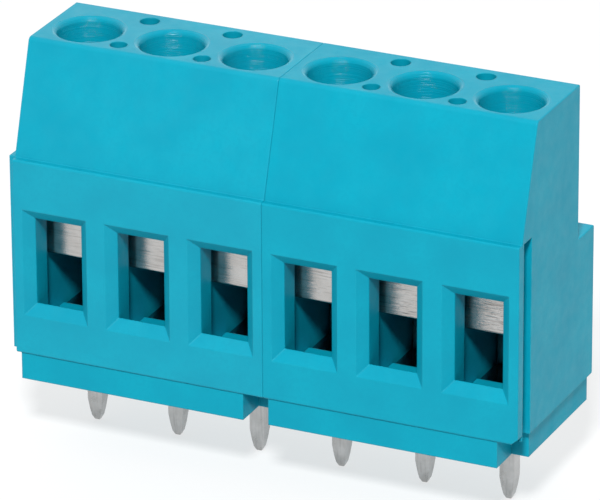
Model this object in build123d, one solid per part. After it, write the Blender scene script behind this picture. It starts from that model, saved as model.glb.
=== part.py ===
from build123d import *

import os

# A six-pole screw terminal block for a printed circuit board. Two moulded three-pole modules lock end to
# end. In each pole a captive screw drives a clamp jaw down, which presses the wire onto a contact floor.
#
# Millimetres. X runs along the row of poles, Y from the wire side (-) to the back (+), Z up from the
# board. The origin is on the board, in the middle of the row of solder pins.

# Row
PITCH = 5.08
POLES_PER_MODULE = 3
MODULES = ("left", "right")
MODULE_LENGTH = POLES_PER_MODULE * PITCH
POLES = POLES_PER_MODULE * len(MODULES)

# Housing profile, across the row
FRONT_Y = -4.97
SLOPE_FOOT_Y = -4.57
TOP_FRONT_Y = -2.57
UPPER_BACK_Y = 3.34
LOWER_BACK_Y = 5.62
HOUSING_BOTTOM_Z = 1.6
FRONT_LEDGE_Z = 13.26
BACK_LEDGE_Z = 10.55
TOP_Z = 19.68
PROFILE_ROUND = 0.12
TOP_FRONT_ROUND = 0.3
END_ROUND = 0.06
LEAD_IN_X = 0.42
LEAD_IN_Z = 0.36

# Wire windows
WINDOW_HALF_WIDTH = 1.42
WINDOW_LOW_Z = 4.58
WINDOW_HIGH_Z = 9.72
WINDOW_BEVEL_DEPTH = 0.55
WINDOW_BEVEL_SIDE = 0.565
WINDOW_BEVEL_END = 0.62
LIP_BACK_Y = -4.36
LIP_FOOT_Z = 3.3

# Pocket behind each window, and the round passage above it
SCREW_Y = -0.14
POCKET_HALF_WIDTH = 1.8
POCKET_FRONT_Y = -3.1
POCKET_BACK_Y = 2.75
POCKET_TOP_Z = 11.0
HEAD_BORE_R = 1.85
THROAT_R = 1.6
FUNNEL_R = 1.78
RIM_R = 2.16
HEAD_BORE_TOP_Z = 17.0
THROAT_TOP_Z = 18.0

# Small round test holes in the top face, between neighbouring poles of one module
TEST_HOLE_DEPTH = 4.5
BACK_TEST_HOLE_R = 0.56
BACK_TEST_HOLE_Y = 2.27
FRONT_TEST_HOLE_R = 0.5
FRONT_TEST_HOLE_Y = -1.64

# Contact, bent from one strip into a frame that is open to the front, with a threaded collar and a pin
STRIP = 0.78
FLOOR_TOP_Z = 3.0
FLOOR_FRONT_Y = -0.5
ROOF_FRONT_Y = -2.4
FRAME_BACK_Y = 2.68
FRAME_TOP_Z = 10.9
FRAME_HALF_WIDTH = 1.6
COLLAR_R = 1.78
COLLAR_TOP_Z = 11.5
BEND_OUTER_R = 0.9
BEND_INNER_R = 0.3
PIN_WIDTH = 0.89
PIN_TIP_Z = -4.1
PIN_TAPER_Z = -2.75
PIN_WAIST_Z = -3.4
PIN_WAIST = 0.8
PIN_NOSE_Z = -3.85
PIN_NOSE = 0.6
PIN_TIP = 0.32

# Clamp jaw, drawn at the top of its travel
JAW_TRAVEL = 3.6
JAW_FLOOR_GAP = 0.3
JAW_HALF_WIDTH = 1.72
JAW_FRONT_Y = -2.65
JAW_BACK_Y = 1.7
JAW_LOW_Z = FLOOR_TOP_Z + JAW_FLOOR_GAP + JAW_TRAVEL
JAW_TOP_Z = 10.0
JAW_EDGE_R = 0.12

# Clamp screw, M3, right-hand thread; its riveted tip turns in the jaw
SCREW_R = 1.45
SCREW_ROOT_R = 1.2
THREAD_PITCH = 0.5
THREAD_CLEARANCE = 0.05
NECK_R = 0.95
RIVET_R = 1.3
RIVET_LOW_Z = 8.2
RIVET_TOP_Z = 9.0
TIP_CLEARANCE = 0.05
HEAD_R = 1.75
HEAD_LOW_Z = COLLAR_TOP_Z + 0.1 + JAW_TRAVEL
HEAD_TOP_Z = 16.9
HEAD_CHAMFER = 0.25
DRIVER_SLOT_WIDTH = 0.6
DRIVER_SLOT_DEPTH = 0.9

# Base plate
BASE_FRONT_Y = -4.85
BASE_BACK_Y = 5.45
BASE_START_INSET = 0.28
BASE_END_INSET = 0.24
BASE_NOTCH_LENGTH = 1.25
BASE_NOTCH_BACK_Y = -2.81
PLUG_TOP_Z = 2.2
PLUG_STEP_TOP_Z = 3.0
FIT_GAP = 0.02

# Dovetail between modules: a tongue on the left end, a groove in the right end
TONGUE_REACH = 0.45
TONGUE_FRONT_Y = -4.34
TONGUE_BACK_Y = -3.28
DOVETAIL_FLARE = 0.08
GROOVE_CLEARANCE = 0.04
TONGUE_TOP_Z = 13.2

CUT = 0.5


def block(x, y, z):
    """A box from three (low, high) spans."""
    size = [high - low for low, high in (x, y, z)]
    centre = [(high + low) / 2 for low, high in (x, y, z)]
    return Pos(*centre) * Box(*size)


def across(face, x_low, x_high):
    """Extrude a profile drawn in (Y, Z) along the row."""
    return extrude(Plane.YZ.offset(x_low) * face, amount=x_high - x_low, dir=(1, 0, 0))


def outline(points, rounds):
    """A closed profile whose corners in rounds, {corner: radius}, are filleted."""
    face = make_face(Polyline(*points, close=True))
    for (u, v), radius in rounds.items():
        corner = face.vertices().sort_by_distance((u, v, 0))[0]
        face = fillet(corner, radius)
    return face


def round_hole(radius, x, y, z_low, z_high):
    """A vertical cylinder."""
    return Pos(x, y, (z_low + z_high) / 2) * Cylinder(radius, z_high - z_low)


def pole_x(number):
    """Row position of a pole, numbered from 1 at the left end."""
    return (number - (POLES + 1) / 2) * PITCH


def module_start_x(module):
    """Left end of a module."""
    return (module - len(MODULES) / 2) * MODULE_LENGTH


def poles_of(module):
    """Pole numbers in a module."""
    first = module * POLES_PER_MODULE + 1
    return range(first, first + POLES_PER_MODULE)


def housing_shell(start):
    """The solid outside shape of one module: stepped back, sloped front, top flat."""
    end = start + MODULE_LENGTH
    points = [
        (FRONT_Y, HOUSING_BOTTOM_Z),
        (FRONT_Y, FRONT_LEDGE_Z),
        (SLOPE_FOOT_Y, FRONT_LEDGE_Z),
        (TOP_FRONT_Y, TOP_Z),
        (UPPER_BACK_Y, TOP_Z),
        (UPPER_BACK_Y, BACK_LEDGE_Z),
        (LOWER_BACK_Y, BACK_LEDGE_Z),
        (LOWER_BACK_Y, HOUSING_BOTTOM_Z),
    ]
    rounds = {corner: PROFILE_ROUND for corner in points}
    rounds[points[2]] = PROFILE_ROUND / 2
    rounds[points[3]] = TOP_FRONT_ROUND
    shell = across(outline(points, rounds), start, end)
    ends = [e for e in shell.edges() if min(abs(e.center().X - start), abs(e.center().X - end)) < 0.001]
    shell = fillet(ends, END_ROUND)
    return shell


def lead_in(x):
    """The wedge cut off the front wall's free bottom corner, which leads a tongue into the groove."""
    points = [
        (x - LEAD_IN_X, HOUSING_BOTTOM_Z),
        (x, HOUSING_BOTTOM_Z + LEAD_IN_Z),
        (x + CUT, HOUSING_BOTTOM_Z + LEAD_IN_Z),
        (x + CUT, HOUSING_BOTTOM_Z - CUT),
        (x - LEAD_IN_X, HOUSING_BOTTOM_Z - CUT),
    ]
    face = Plane.XZ.offset(CUT - FRONT_Y) * make_face(Polyline(*points, close=True))
    return extrude(face, amount=CUT + TONGUE_FRONT_Y - FRONT_Y, dir=(0, 1, 0))


def dovetail(x, clearance):
    """The locking tongue at a module's left end, or with a clearance the groove that takes it."""
    front = TONGUE_FRONT_Y - clearance
    back = TONGUE_BACK_Y + clearance
    reach = TONGUE_REACH + clearance
    points = [
        (x, front + DOVETAIL_FLARE),
        (x - reach, front),
        (x - reach, back),
        (x, back),
    ]
    low = HOUSING_BOTTOM_Z - (CUT if clearance else 0)
    profile = Plane.XY.offset(low) * make_face(Polyline(*points, close=True))
    return extrude(profile, amount=TONGUE_TOP_Z + clearance - low, dir=(0, 0, 1))


def window(x):
    """A square wire entry with bevelled sides, cut through the front wall down to a thin lip."""
    low = WINDOW_LOW_Z
    high = WINDOW_HIGH_Z
    span_x = (x - WINDOW_HALF_WIDTH, x + WINDOW_HALF_WIDTH)
    hole = block(span_x, (FRONT_Y, POCKET_FRONT_Y + CUT), (low, high))
    behind_lip = block(span_x, (LIP_BACK_Y, POCKET_FRONT_Y + CUT), (LIP_FOOT_Z, low + CUT))
    centre_z = (low + high) / 2
    wide = 2 * (WINDOW_HALF_WIDTH + WINDOW_BEVEL_SIDE)
    tall = high - low + 2 * WINDOW_BEVEL_END
    mouth = Plane((x, FRONT_Y, centre_z), x_dir=(1, 0, 0), z_dir=(0, -1, 0))
    inner = Plane((x, FRONT_Y + WINDOW_BEVEL_DEPTH, centre_z), x_dir=(1, 0, 0), z_dir=(0, -1, 0))
    bevel = loft([mouth * Rectangle(wide, tall), inner * Rectangle(2 * WINDOW_HALF_WIDTH, high - low)])
    return hole + behind_lip + bevel


def screw_passage(x):
    """The head's bore, the throat that keeps the screw in, and the screwdriver funnel."""
    round_depth = RIM_R - FUNNEL_R
    wall_top = TOP_Z - round_depth
    sides = [
        Line((0, POCKET_TOP_Z - CUT), (HEAD_BORE_R, POCKET_TOP_Z - CUT)),
        Line((HEAD_BORE_R, POCKET_TOP_Z - CUT), (HEAD_BORE_R, HEAD_BORE_TOP_Z)),
        Line((HEAD_BORE_R, HEAD_BORE_TOP_Z), (THROAT_R, HEAD_BORE_TOP_Z)),
        Line((THROAT_R, HEAD_BORE_TOP_Z), (THROAT_R, THROAT_TOP_Z)),
        Line((THROAT_R, THROAT_TOP_Z), (FUNNEL_R, wall_top)),
        TangentArc((FUNNEL_R, wall_top), (RIM_R, TOP_Z), tangent=(0, 1)),
        Line((RIM_R, TOP_Z), (0, TOP_Z)),
        Line((0, TOP_Z), (0, POCKET_TOP_Z - CUT)),
    ]
    profile = Plane.XZ * make_face(sides)
    return Pos(x, SCREW_Y, 0) * revolve(profile, Axis.Z)


def pole_cavity(x):
    """Everything that is cut out of the housing at one pole."""
    pocket = block(
        (x - POCKET_HALF_WIDTH, x + POCKET_HALF_WIDTH),
        (POCKET_FRONT_Y, POCKET_BACK_Y),
        (HOUSING_BOTTOM_Z - CUT, POCKET_TOP_Z),
    )
    return pocket + window(x) + screw_passage(x)


def test_holes(x):
    """The pair of small blind holes between two poles."""
    low = TOP_Z - TEST_HOLE_DEPTH
    back = round_hole(BACK_TEST_HOLE_R, x, BACK_TEST_HOLE_Y, low, TOP_Z + CUT)
    front = round_hole(FRONT_TEST_HOLE_R, x, FRONT_TEST_HOLE_Y, low, TOP_Z + CUT)
    return back + front


def housing(module):
    """One moulded three-pole housing."""
    start = module_start_x(module)
    body = housing_shell(start)
    body += dovetail(start, 0)
    body -= dovetail(start + MODULE_LENGTH, GROOVE_CLEARANCE)
    numbers = poles_of(module)
    for number in numbers:
        body -= pole_cavity(pole_x(number))
    for number in numbers[:-1]:
        body -= test_holes(pole_x(number) + PITCH / 2)
    if module == len(MODULES) - 1:
        body -= lead_in(start + MODULE_LENGTH)
    return body


def base(module):
    """The inset plate that closes a housing from below, with a plug and a pin hole at each pole."""
    start = module_start_x(module)
    low_x = start + BASE_START_INSET
    high_x = start + MODULE_LENGTH - BASE_END_INSET
    notch_x = start + MODULE_LENGTH - BASE_NOTCH_LENGTH
    plate = block((low_x, high_x), (BASE_FRONT_Y, BASE_BACK_Y), (0, HOUSING_BOTTOM_Z))
    notch_z = (-CUT, HOUSING_BOTTOM_Z + CUT)
    plate -= block((notch_x, high_x + CUT), (BASE_FRONT_Y - CUT, BASE_NOTCH_BACK_Y), notch_z)
    for number in poles_of(module):
        plate += plug(pole_x(number))
    for number in poles_of(module):
        plate -= pin_hole(pole_x(number))
    return plate


def plug(x):
    """The raised part that fills the bottom of one pocket: a seat for the contact and a step before it."""
    half = POCKET_HALF_WIDTH - FIT_GAP
    front = POCKET_FRONT_Y + FIT_GAP
    low = HOUSING_BOTTOM_Z - CUT
    seat = block((x - half, x + half), (front, POCKET_BACK_Y - FIT_GAP), (low, PLUG_TOP_Z))
    step = block((x - half, x + half), (front, FLOOR_FRONT_Y - FIT_GAP), (low, PLUG_STEP_TOP_Z))
    return seat + step


def pin_hole(x):
    """The square hole that a solder pin comes down through."""
    half = PIN_WIDTH / 2 + FIT_GAP
    depth = STRIP / 2 + FIT_GAP
    return block((x - half, x + half), (-depth, depth), (-CUT, PLUG_TOP_Z + CUT))


def jaw(x):
    """The solid block that the screw pushes down on the wire; the screw's riveted tip hangs in its bore."""
    span_x = (x - JAW_HALF_WIDTH, x + JAW_HALF_WIDTH)
    body = block(span_x, (JAW_FRONT_Y, JAW_BACK_Y), (JAW_LOW_Z, JAW_TOP_Z))
    body = fillet(body.edges(), JAW_EDGE_R)
    neck = round_hole(NECK_R + THREAD_CLEARANCE, x, SCREW_Y, JAW_LOW_Z, JAW_TOP_Z + CUT)
    seat_top = RIVET_TOP_Z + TIP_CLEARANCE
    seat = round_hole(RIVET_R + THREAD_CLEARANCE, x, SCREW_Y, JAW_LOW_Z - CUT, seat_top)
    return body - neck - seat


def screw(x):
    """The slotted clamp screw: threaded shank, a head in the bore, and a neck and rivet inside the jaw."""
    shank_low = JAW_TOP_Z + TIP_CLEARANCE
    body = round_hole(SCREW_R, x, SCREW_Y, shank_low, HEAD_LOW_Z)
    body = chamfer(body.edges().sort_by(Axis.Z)[0], SCREW_R - SCREW_ROOT_R)
    turns = int((HEAD_LOW_Z - shank_low) / THREAD_PITCH) - 1
    for turn in range(turns):
        z = shank_low + (turn + 1) * THREAD_PITCH
        groove = Polyline(
            (SCREW_R + 0.01, z - THREAD_PITCH / 2 + 0.03),
            (SCREW_ROOT_R, z),
            (SCREW_R + 0.01, z + THREAD_PITCH / 2 - 0.03),
            close=True,
        )
        body -= Pos(x, SCREW_Y, 0) * revolve(Plane.XZ * make_face(groove), Axis.Z)
    neck = round_hole(NECK_R, x, SCREW_Y, RIVET_TOP_Z - TIP_CLEARANCE, shank_low + TIP_CLEARANCE)
    rivet = round_hole(RIVET_R, x, SCREW_Y, RIVET_LOW_Z, RIVET_TOP_Z)
    rivet = chamfer(rivet.edges().sort_by(Axis.Z)[0], HEAD_CHAMFER)
    head = round_hole(HEAD_R, x, SCREW_Y, HEAD_LOW_Z, HEAD_TOP_Z)
    head = chamfer(head.edges().sort_by(Axis.Z)[-1], HEAD_CHAMFER)
    slot = block(
        (x - HEAD_R, x + HEAD_R),
        (SCREW_Y - DRIVER_SLOT_WIDTH / 2, SCREW_Y + DRIVER_SLOT_WIDTH / 2),
        (HEAD_TOP_Z - DRIVER_SLOT_DEPTH, HEAD_TOP_Z + CUT),
    )
    return body + neck + rivet + head - slot


def contact(x):
    """The contact frame, open to the wire: floor, back and threaded top, with the solder pin below."""
    floor_low = FLOOR_TOP_Z - STRIP
    back_front = FRAME_BACK_Y - STRIP
    roof_low = FRAME_TOP_Z - STRIP
    points = [
        (FLOOR_FRONT_Y, floor_low),
        (FRAME_BACK_Y, floor_low),
        (FRAME_BACK_Y, FRAME_TOP_Z),
        (ROOF_FRONT_Y, FRAME_TOP_Z),
        (ROOF_FRONT_Y, roof_low),
        (back_front, roof_low),
        (back_front, FLOOR_TOP_Z),
        (FLOOR_FRONT_Y, FLOOR_TOP_Z),
    ]
    rounds = {
        points[1]: BEND_OUTER_R,
        points[2]: BEND_OUTER_R,
        points[5]: BEND_INNER_R,
        points[6]: BEND_INNER_R,
    }
    strip = across(outline(points, rounds), x - FRAME_HALF_WIDTH, x + FRAME_HALF_WIDTH)
    strip += round_hole(COLLAR_R, x, SCREW_Y, FRAME_TOP_Z - STRIP / 2, COLLAR_TOP_Z)
    strip -= round_hole(SCREW_R + THREAD_CLEARANCE, x, SCREW_Y, roof_low - CUT, COLLAR_TOP_Z + CUT)
    span_x = (x - PIN_WIDTH / 2, x + PIN_WIDTH / 2)
    shank = block(span_x, (-STRIP / 2, STRIP / 2), (PIN_TAPER_Z, floor_low + STRIP / 2))
    sections = [(PIN_TAPER_Z, 1), (PIN_WAIST_Z, PIN_WAIST), (PIN_NOSE_Z, PIN_NOSE), (PIN_TIP_Z, PIN_TIP)]
    faces = [Pos(x, 0, z) * Rectangle(scale * PIN_WIDTH, scale * STRIP) for z, scale in sections]
    return strip + shank + loft(faces, ruled=True)


def save(name, solid):
    """Write one node's STEP file."""
    export_step(solid, f"parts/{name}.step")


os.makedirs("parts", exist_ok=True)
for index, side in enumerate(MODULES):
    save(f"housing_{side}", housing(index))
    save(f"base_{side}", base(index))
for number in range(1, POLES + 1):
    save(f"jaw_{number}", jaw(pole_x(number)))
    save(f"screw_{number}", screw(pole_x(number)))
    save(f"contact_{number}", contact(pole_x(number)))
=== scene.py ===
import math

import bpy
from mathutils import Matrix, Vector


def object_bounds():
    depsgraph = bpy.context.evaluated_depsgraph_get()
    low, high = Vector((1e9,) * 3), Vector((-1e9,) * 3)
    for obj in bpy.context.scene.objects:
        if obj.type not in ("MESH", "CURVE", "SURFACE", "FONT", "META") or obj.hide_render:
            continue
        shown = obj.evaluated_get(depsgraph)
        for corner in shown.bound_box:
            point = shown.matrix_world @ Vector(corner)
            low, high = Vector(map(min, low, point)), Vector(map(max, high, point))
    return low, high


# Looks for a six-pole screw terminal block: moulded turquoise plastic, plated clamp jaws and tinned pins.
# Metres. X runs along the row of poles, Y from the wire side to the back, Z up from the circuit board.

MM = 0.001

# Camera: where the picture is taken from, as angles round the part and a distance to a point in it
CAMERA_AZIMUTH = 24.998
CAMERA_ELEVATION = 23.279
CAMERA_ROLL = -0.329
CAMERA_DISTANCE = 345.585 * MM
CAMERA_TARGET = Vector((0.461, -0.97, 9.005)) * MM
CAMERA_LENS = 376.37
CAMERA_SENSOR = 36

# Light: a studio wall, brighter behind and on the left, and one small softbox in front on the right
WALL_LIGHT = 0.66
WALL_TOWARDS_RIGHT = -0.22
WALL_TOWARDS_BACK = 0.62
WALL_LEAST = 0.1
KEY_AZIMUTH = 20
KEY_ELEVATION = 45
KEY_POWER = 4.4
LIGHT_DISTANCE = 0.6
LIGHT_SIZE = 0.09

# Floor: white paper, lit from below as well, as on a light table
FLOOR_SIZE = 3.0
FLOOR_GAP = 0.02 * MM
FLOOR_COLOUR = (0.25, 0.25, 0.25, 1)
FLOOR_GLOW = 0.68

# Plastic colours: the body of the moulding, its cloudy darker places, and a painted highlight for the edges
BODY_COLOUR = (0.001, 0.285, 0.392)
CLOUD_COLOUR = (0.001, 0.255, 0.36)
EDGE_HIGHLIGHT_COLOUR = (0.03, 0.38, 0.48)

BEVEL_RADIUS = 0.09 * MM

# Sheen of the plastic, and how much smoother the funnels are than the rest
LEFT_GLOSS = 0.18
RIGHT_GLOSS = 0.12
BASE_GLOSS = 0.1
HOUSING_ROUGHNESS = 0.42
BASE_ROUGHNESS = 0.46
FUNNEL_POLISH = 0.24

# Metal colours: darker and lighter patches, scored or drawn lines, and painted highlights on edges
NICKEL_DARK = (0.43, 0.42, 0.405, 1)
NICKEL_LIGHT = (0.52, 0.515, 0.505, 1)
NICKEL_SCORED = (0.2, 0.19, 0.18, 1)
NICKEL_EDGE_HIGHLIGHT = (0.66, 0.66, 0.66, 1)
ZINC_DARK = (0.47, 0.47, 0.44, 1)
ZINC_LIGHT = (0.58, 0.58, 0.57, 1)
ZINC_EDGE_HIGHLIGHT = (0.72, 0.72, 0.7, 1)
TIN_DARK = (0.36, 0.365, 0.36, 1)
TIN_LIGHT = (0.5, 0.5, 0.5, 1)
TIN_DRAWN = (0.27, 0.27, 0.27, 1)
TIN_EDGE_HIGHLIGHT = (0.6, 0.6, 0.6, 1)

# Above the board's face, inside the housing, the contacts are smoother than on the pins, and painted darker
# and teal there as shade and a painted reflection of the pocket
BOARD_FACE_Z = 0.0
TIN_INSIDE_PAINTED_SHADE = (0.18, 0.28, 0.30, 1)
TIN_INSIDE_POLISH = 0.14

# Where the screwdriver funnels are
PITCH = 5.08 * MM
FIRST_POLE_X = -12.7 * MM
FUNNEL_Y = -0.14 * MM
FUNNEL_R = 2.12 * MM
FUNNEL_LOW_Z = 17.0 * MM


def direction(azimuth, elevation):
    """The unit vector from the part towards a place round it; azimuth 0 is in front, on the wire side."""
    around = math.radians(azimuth)
    up = math.radians(elevation)
    return Vector((math.sin(around) * math.cos(up), -math.cos(around) * math.cos(up), math.sin(up)))


def add_camera():
    back = direction(CAMERA_AZIMUTH, CAMERA_ELEVATION)
    right = direction(CAMERA_AZIMUTH + 90, 0)
    up = back.cross(right)
    roll = math.radians(CAMERA_ROLL)
    rolled_right = right * math.cos(roll) + up * math.sin(roll)
    rolled_up = up * math.cos(roll) - right * math.sin(roll)
    data = bpy.data.cameras.new("camera")
    data.lens = CAMERA_LENS
    data.sensor_width = CAMERA_SENSOR
    data.clip_start = 0.01
    data.clip_end = 20
    camera = bpy.data.objects.new("camera", data)
    bpy.context.scene.collection.objects.link(camera)
    turn = Matrix((rolled_right, rolled_up, back)).transposed().to_4x4()
    camera.matrix_world = Matrix.Translation(CAMERA_TARGET + back * CAMERA_DISTANCE) @ turn
    bpy.context.scene.camera = camera


def add_light(name, azimuth, elevation, power):
    data = bpy.data.lights.new(name, "AREA")
    data.shape = "SQUARE"
    data.size = LIGHT_SIZE
    data.energy = power
    light = bpy.data.objects.new(name, data)
    bpy.context.scene.collection.objects.link(light)
    back = direction(azimuth, elevation)
    turn = back.to_track_quat("Z", "Y").to_matrix().to_4x4()
    light.matrix_world = Matrix.Translation(CAMERA_TARGET + back * LIGHT_DISTANCE) @ turn


def set_wall_light():
    """White light from all round, stronger from behind and from the left."""
    world = bpy.data.worlds.new("studio")
    world.use_nodes = True
    tree = world.node_tree
    background = tree.nodes["Background"]
    background.inputs["Color"].default_value = (1, 1, 1, 1)
    place = tree.nodes.new("ShaderNodeTexCoord")
    slant = tree.nodes.new("ShaderNodeVectorMath")
    slant.operation = "DOT_PRODUCT"
    slant.inputs[1].default_value = (WALL_TOWARDS_RIGHT, WALL_TOWARDS_BACK, 0)
    level = tree.nodes.new("ShaderNodeMath")
    level.operation = "ADD"
    level.inputs[1].default_value = WALL_LIGHT
    least = tree.nodes.new("ShaderNodeMath")
    least.operation = "MAXIMUM"
    least.inputs[1].default_value = WALL_LEAST
    tree.links.new(place.outputs["Generated"], slant.inputs[0])
    tree.links.new(slant.outputs["Value"], level.inputs[0])
    tree.links.new(level.outputs[0], least.inputs[0])
    tree.links.new(least.outputs[0], background.inputs["Strength"])
    bpy.context.scene.world = world


class Look:
    """One material under construction: its node tree, its shader, and short calls that add nodes."""

    def __init__(self, name):
        self.material = bpy.data.materials.new(name)
        self.material.use_nodes = True
        self.tree = self.material.node_tree
        self.tree.nodes.clear()
        output = self.tree.nodes.new("ShaderNodeOutputMaterial")
        self.shader = self.tree.nodes.new("ShaderNodeBsdfPrincipled")
        self.link(self.shader.outputs["BSDF"], output.inputs["Surface"])
        self.place = self.tree.nodes.new("ShaderNodeTexCoord").outputs["Object"]

    def link(self, source, target):
        self.tree.links.new(source, target)

    def put(self, value, target):
        """Give an input a number, a colour, or another node's output."""
        if isinstance(value, bpy.types.NodeSocket):
            self.link(value, target)
        else:
            target.default_value = value

    def set(self, name, value):
        self.put(value, self.shader.inputs[name])

    def math(self, operation, a, b=0.0):
        node = self.tree.nodes.new("ShaderNodeMath")
        node.operation = operation
        self.put(a, node.inputs[0])
        self.put(b, node.inputs[1])
        return node.outputs[0]

    def axes(self):
        """The object coordinates, split into X, Y and Z."""
        split = self.tree.nodes.new("ShaderNodeSeparateXYZ")
        self.link(self.place, split.inputs[0])
        return split.outputs

    def stretched(self, size):
        """Object coordinates in cells of the given size in millimetres, one number or three."""
        node = self.tree.nodes.new("ShaderNodeMapping")
        cells = size if isinstance(size, tuple) else (size, size, size)
        node.inputs["Scale"].default_value = [1 / (cell * MM) for cell in cells]
        self.link(self.place, node.inputs["Vector"])
        return node.outputs["Vector"]

    def noise(self, size, detail=2.0, shift=0.0):
        """Smooth noise round 0.5, with features of about the given size in millimetres."""
        node = self.tree.nodes.new("ShaderNodeTexNoise")
        node.noise_dimensions = "4D"
        node.inputs["W"].default_value = shift
        node.inputs["Scale"].default_value = 1.0
        node.inputs["Detail"].default_value = detail
        self.link(self.stretched(size), node.inputs["Vector"])
        return node.outputs["Fac"]

    def spread(self, value, low, high, to_low=0.0, to_high=1.0):
        """Map a span of values onto another, and hold it at the ends."""
        node = self.tree.nodes.new("ShaderNodeMapRange")
        self.link(value, node.inputs["Value"])
        node.inputs["From Min"].default_value = low
        node.inputs["From Max"].default_value = high
        node.inputs["To Min"].default_value = to_low
        node.inputs["To Max"].default_value = to_high
        return node.outputs["Result"]

    def blend(self, share, first, second):
        """A colour between two colours."""
        node = self.tree.nodes.new("ShaderNodeMix")
        node.data_type = "RGBA"
        self.put(share, node.inputs["Factor"])
        colours = [socket for socket in node.inputs if socket.type == "RGBA"]
        self.put(first, colours[0])
        self.put(second, colours[1])
        return [socket for socket in node.outputs if socket.type == "RGBA"][0]

    def soft_edges(self, radius):
        """Normals that turn smoothly over sharp edges, and a mask that is 1 on those edges."""
        round_over = self.tree.nodes.new("ShaderNodeBevel")
        round_over.samples = 8
        round_over.inputs["Radius"].default_value = radius
        flat = self.tree.nodes.new("ShaderNodeNewGeometry").outputs["Normal"]
        compare = self.tree.nodes.new("ShaderNodeVectorMath")
        compare.operation = "DOT_PRODUCT"
        self.link(round_over.outputs["Normal"], compare.inputs[0])
        self.link(flat, compare.inputs[1])
        mask = self.spread(compare.outputs["Value"], 0.995, 0.80)
        return round_over.outputs["Normal"], mask

    def bump(self, height, depth, strength=1.0, under=None):
        """Surface relief: height 0 to 1 stands for the given depth in millimetres."""
        node = self.tree.nodes.new("ShaderNodeBump")
        node.inputs["Strength"].default_value = strength
        node.inputs["Distance"].default_value = depth * MM
        self.link(height, node.inputs["Height"])
        if under is not None:
            self.link(under, node.inputs["Normal"])
        return node.outputs["Normal"]


def in_funnels(look):
    """A mask that is 1 inside the screwdriver funnels, which repeat along X at the pitch."""
    place = look.axes()
    offset = look.math("SUBTRACT", place["X"], FIRST_POLE_X - PITCH / 2)
    across = look.math("SUBTRACT", look.math("FLOORED_MODULO", offset, PITCH), PITCH / 2)
    along = look.math("SUBTRACT", place["Y"], FUNNEL_Y)
    squares = look.math("ADD", look.math("MULTIPLY", across, across), look.math("MULTIPLY", along, along))
    round_axis = look.spread(look.math("SQRT", squares), FUNNEL_R, FUNNEL_R * 0.98)
    return look.math("MULTIPLY", round_axis, look.math("GREATER_THAN", place["Z"], FUNNEL_LOW_Z))


def moulded_plastic(name, shift, gloss, roughness):
    """Turquoise moulding: faint clouds, specks and grain, patchy painted highlights on the edges, and fine
    rings in the funnels.
    """
    look = Look(name)
    rounded, edge = look.soft_edges(BEVEL_RADIUS)
    clouds = look.noise(3.0, 3, shift)
    specks = look.noise(0.22, 2, shift)
    cloudy = look.blend(look.spread(clouds, 0.35, 0.65), (*CLOUD_COLOUR, 1), (*BODY_COLOUR, 1))
    dark = look.math("MULTIPLY", look.spread(specks, 0.52, 0.40), 0.35)
    speckled = look.blend(dark, cloudy, (*CLOUD_COLOUR, 1))
    # Painted highlight: edges are lightened, in patches, where rounded edges would catch the light
    patchy = look.spread(look.noise(1.2, 2, shift + 5), 0.4, 0.65)
    edge_highlight = look.math("MULTIPLY", look.math("MULTIPLY", edge, patchy), 0.55)
    look.set("Base Color", look.blend(edge_highlight, speckled, (*EDGE_HIGHLIGHT_COLOUR, 1)))
    funnel = in_funnels(look)
    grainy = look.spread(look.noise(0.8, 3, shift + 9), 0.3, 0.7, roughness - 0.05, roughness + 0.09)
    look.set("Roughness", look.math("SUBTRACT", grainy, look.math("MULTIPLY", funnel, FUNNEL_POLISH)))
    look.set("Specular IOR Level", gloss)
    grain = look.bump(look.noise(0.12, 2, shift), 0.006, 0.6, rounded)
    wavy = look.bump(clouds, 0.05, 0.5, grain)
    rings = look.math("MULTIPLY", look.noise((6.0, 6.0, 0.025), 1, shift), funnel)
    look.set("Normal", look.bump(rings, 0.03, 1.0, wavy))
    return look.material


def sawn_metal(name, shift, marks):
    """Plated jaw: cutting marks run across the front face; marks sets how deep they are."""
    look = Look(name)
    rounded, edge = look.soft_edges(BEVEL_RADIUS)
    lines = look.noise((1.6, 1.6, 0.10), 3, shift)
    fine = look.noise((0.7, 0.7, 0.035), 2, shift + 3)
    stain = look.noise(0.9, 3, shift + 7)
    ridges = look.math("ADD", look.math("MULTIPLY", lines, 0.8), look.math("MULTIPLY", fine, 0.2))
    tone = look.blend(look.spread(stain, 0.3, 0.7), NICKEL_DARK, NICKEL_LIGHT)
    scored = look.blend(look.spread(lines, 0.48, 0.30, 0, 0.3 + 0.4 * marks), tone, NICKEL_SCORED)
    # Painted highlight: edges are lightened where a rounded edge would catch the light
    look.set("Base Color", look.blend(look.math("MULTIPLY", edge, 0.5), scored, NICKEL_EDGE_HIGHLIGHT))
    look.set("Metallic", 1.0)
    look.set("Roughness", look.spread(stain, 0.3, 0.7, 0.15, 0.23))
    look.set("Normal", look.bump(ridges, 0.012 + 0.05 * marks, 0.8, rounded))
    return look.material


def screw_metal(name):
    """Zinc-plated screw: turned rings, slightly mottled passivation."""
    look = Look(name)
    rounded, edge = look.soft_edges(BEVEL_RADIUS)
    mottle = look.noise(0.6, 3)
    turned = look.noise((0.9, 0.9, 0.05), 2)
    tone = look.blend(look.spread(mottle, 0.3, 0.7), ZINC_DARK, ZINC_LIGHT)
    # Painted highlight: edges are lightened where a rounded edge would catch the light
    look.set("Base Color", look.blend(look.math("MULTIPLY", edge, 0.6), tone, ZINC_EDGE_HIGHLIGHT))
    look.set("Metallic", 1.0)
    look.set("Roughness", look.spread(mottle, 0.3, 0.7, 0.26, 0.4))
    look.set("Normal", look.bump(turned, 0.01, 0.6, rounded))
    return look.material


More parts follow.
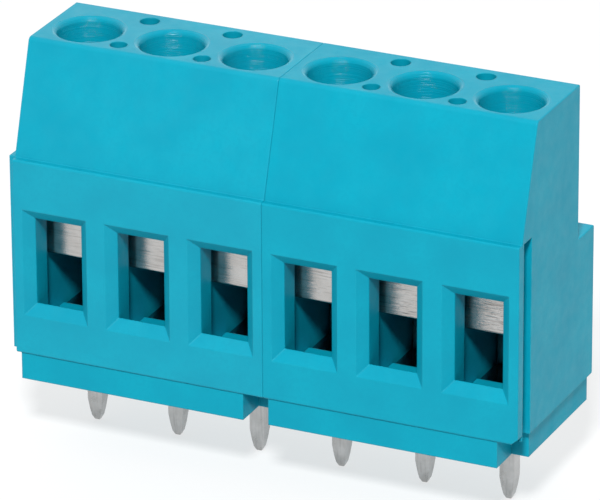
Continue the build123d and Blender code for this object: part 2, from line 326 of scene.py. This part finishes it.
def tinned_metal(name):
    """Tin-plated contact: dull grey pin with drawn streaks; inside the housing the frame is smoother and
    painted darker and teal, as shade and a reflection of the pocket.
    """
    look = Look(name)
    rounded, edge = look.soft_edges(BEVEL_RADIUS * 0.7)
    streaks = look.noise((0.12, 0.12, 2.5), 3)
    bloom = look.noise(0.7, 3, 4)
    tone = look.blend(look.spread(bloom, 0.3, 0.7), TIN_DARK, TIN_LIGHT)
    drawn = look.blend(look.spread(streaks, 0.5, 0.3, 0, 0.5), tone, TIN_DRAWN)
    # Painted highlight: edges are lightened where a rounded edge would catch the light
    highlighted = look.blend(look.math("MULTIPLY", edge, 0.5), drawn, TIN_EDGE_HIGHLIGHT)
    # Painted shade and a teal painted reflection of the pocket darken the contact inside the housing
    inside = look.math("GREATER_THAN", look.axes()["Z"], BOARD_FACE_Z)
    look.set("Base Color", look.blend(inside, highlighted, TIN_INSIDE_PAINTED_SHADE))
    look.set("Metallic", 1.0)
    dull = look.spread(bloom, 0.3, 0.7, 0.24, 0.38)
    look.set("Roughness", look.math("SUBTRACT", dull, look.math("MULTIPLY", inside, TIN_INSIDE_POLISH)))
    look.set("Normal", look.bump(streaks, 0.012, 0.7, rounded))
    return look.material


def add_floor(lowest_z):
    look = Look("floor")
    look.set("Base Color", FLOOR_COLOUR)
    look.set("Roughness", 0.9)
    look.set("Specular IOR Level", 0.0)
    look.set("Emission Color", (1, 1, 1, 1))
    look.set("Emission Strength", FLOOR_GLOW)
    half = FLOOR_SIZE / 2
    mesh = bpy.data.meshes.new("floor")
    corners = [(-half, -half, 0), (half, -half, 0), (half, half, 0), (-half, half, 0)]
    mesh.from_pydata(corners, [], [(0, 1, 2, 3)])
    mesh.materials.append(look.material)
    floor = bpy.data.objects.new("floor", mesh)
    floor.location = (0, 0, lowest_z - FLOOR_GAP)
    bpy.context.scene.collection.objects.link(floor)


def dress(node, material):
    node.data.materials.clear()
    node.data.materials.append(material)


# How deep the cutting marks are on the jaws, from the left end of the row
CUTTING_MARKS = (0.2, 0.2, 0.35, 0.4, 0.8, 1.2)

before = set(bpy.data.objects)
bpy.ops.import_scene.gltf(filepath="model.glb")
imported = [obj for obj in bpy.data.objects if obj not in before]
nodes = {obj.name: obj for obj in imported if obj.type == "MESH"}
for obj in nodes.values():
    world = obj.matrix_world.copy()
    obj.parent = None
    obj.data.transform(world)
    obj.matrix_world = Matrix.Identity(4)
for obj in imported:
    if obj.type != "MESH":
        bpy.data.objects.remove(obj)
cad_low, cad_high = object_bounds()

for shift, (side, gloss) in enumerate((("left", LEFT_GLOSS), ("right", RIGHT_GLOSS))):
    housing_look = moulded_plastic(f"housing_{side}_plastic", 10 * shift, gloss, HOUSING_ROUGHNESS)
    base_look = moulded_plastic(f"base_{side}_plastic", 10 * shift + 5, BASE_GLOSS, BASE_ROUGHNESS)
    dress(nodes[f"housing_{side}"], housing_look)
    dress(nodes[f"base_{side}"], base_look)
screw_look = screw_metal("screw_zinc")
contact_look = tinned_metal("contact_tin")
for number, marks in enumerate(CUTTING_MARKS, start=1):
    dress(nodes[f"jaw_{number}"], sawn_metal(f"jaw_{number}_nickel", 7 * number, marks))
    dress(nodes[f"screw_{number}"], screw_look)
    dress(nodes[f"contact_{number}"], contact_look)

add_camera()
set_wall_light()
add_light("key", KEY_AZIMUTH, KEY_ELEVATION, KEY_POWER)
add_floor(cad_low.z)
bpy.context.scene.view_settings.view_transform = "Standard"
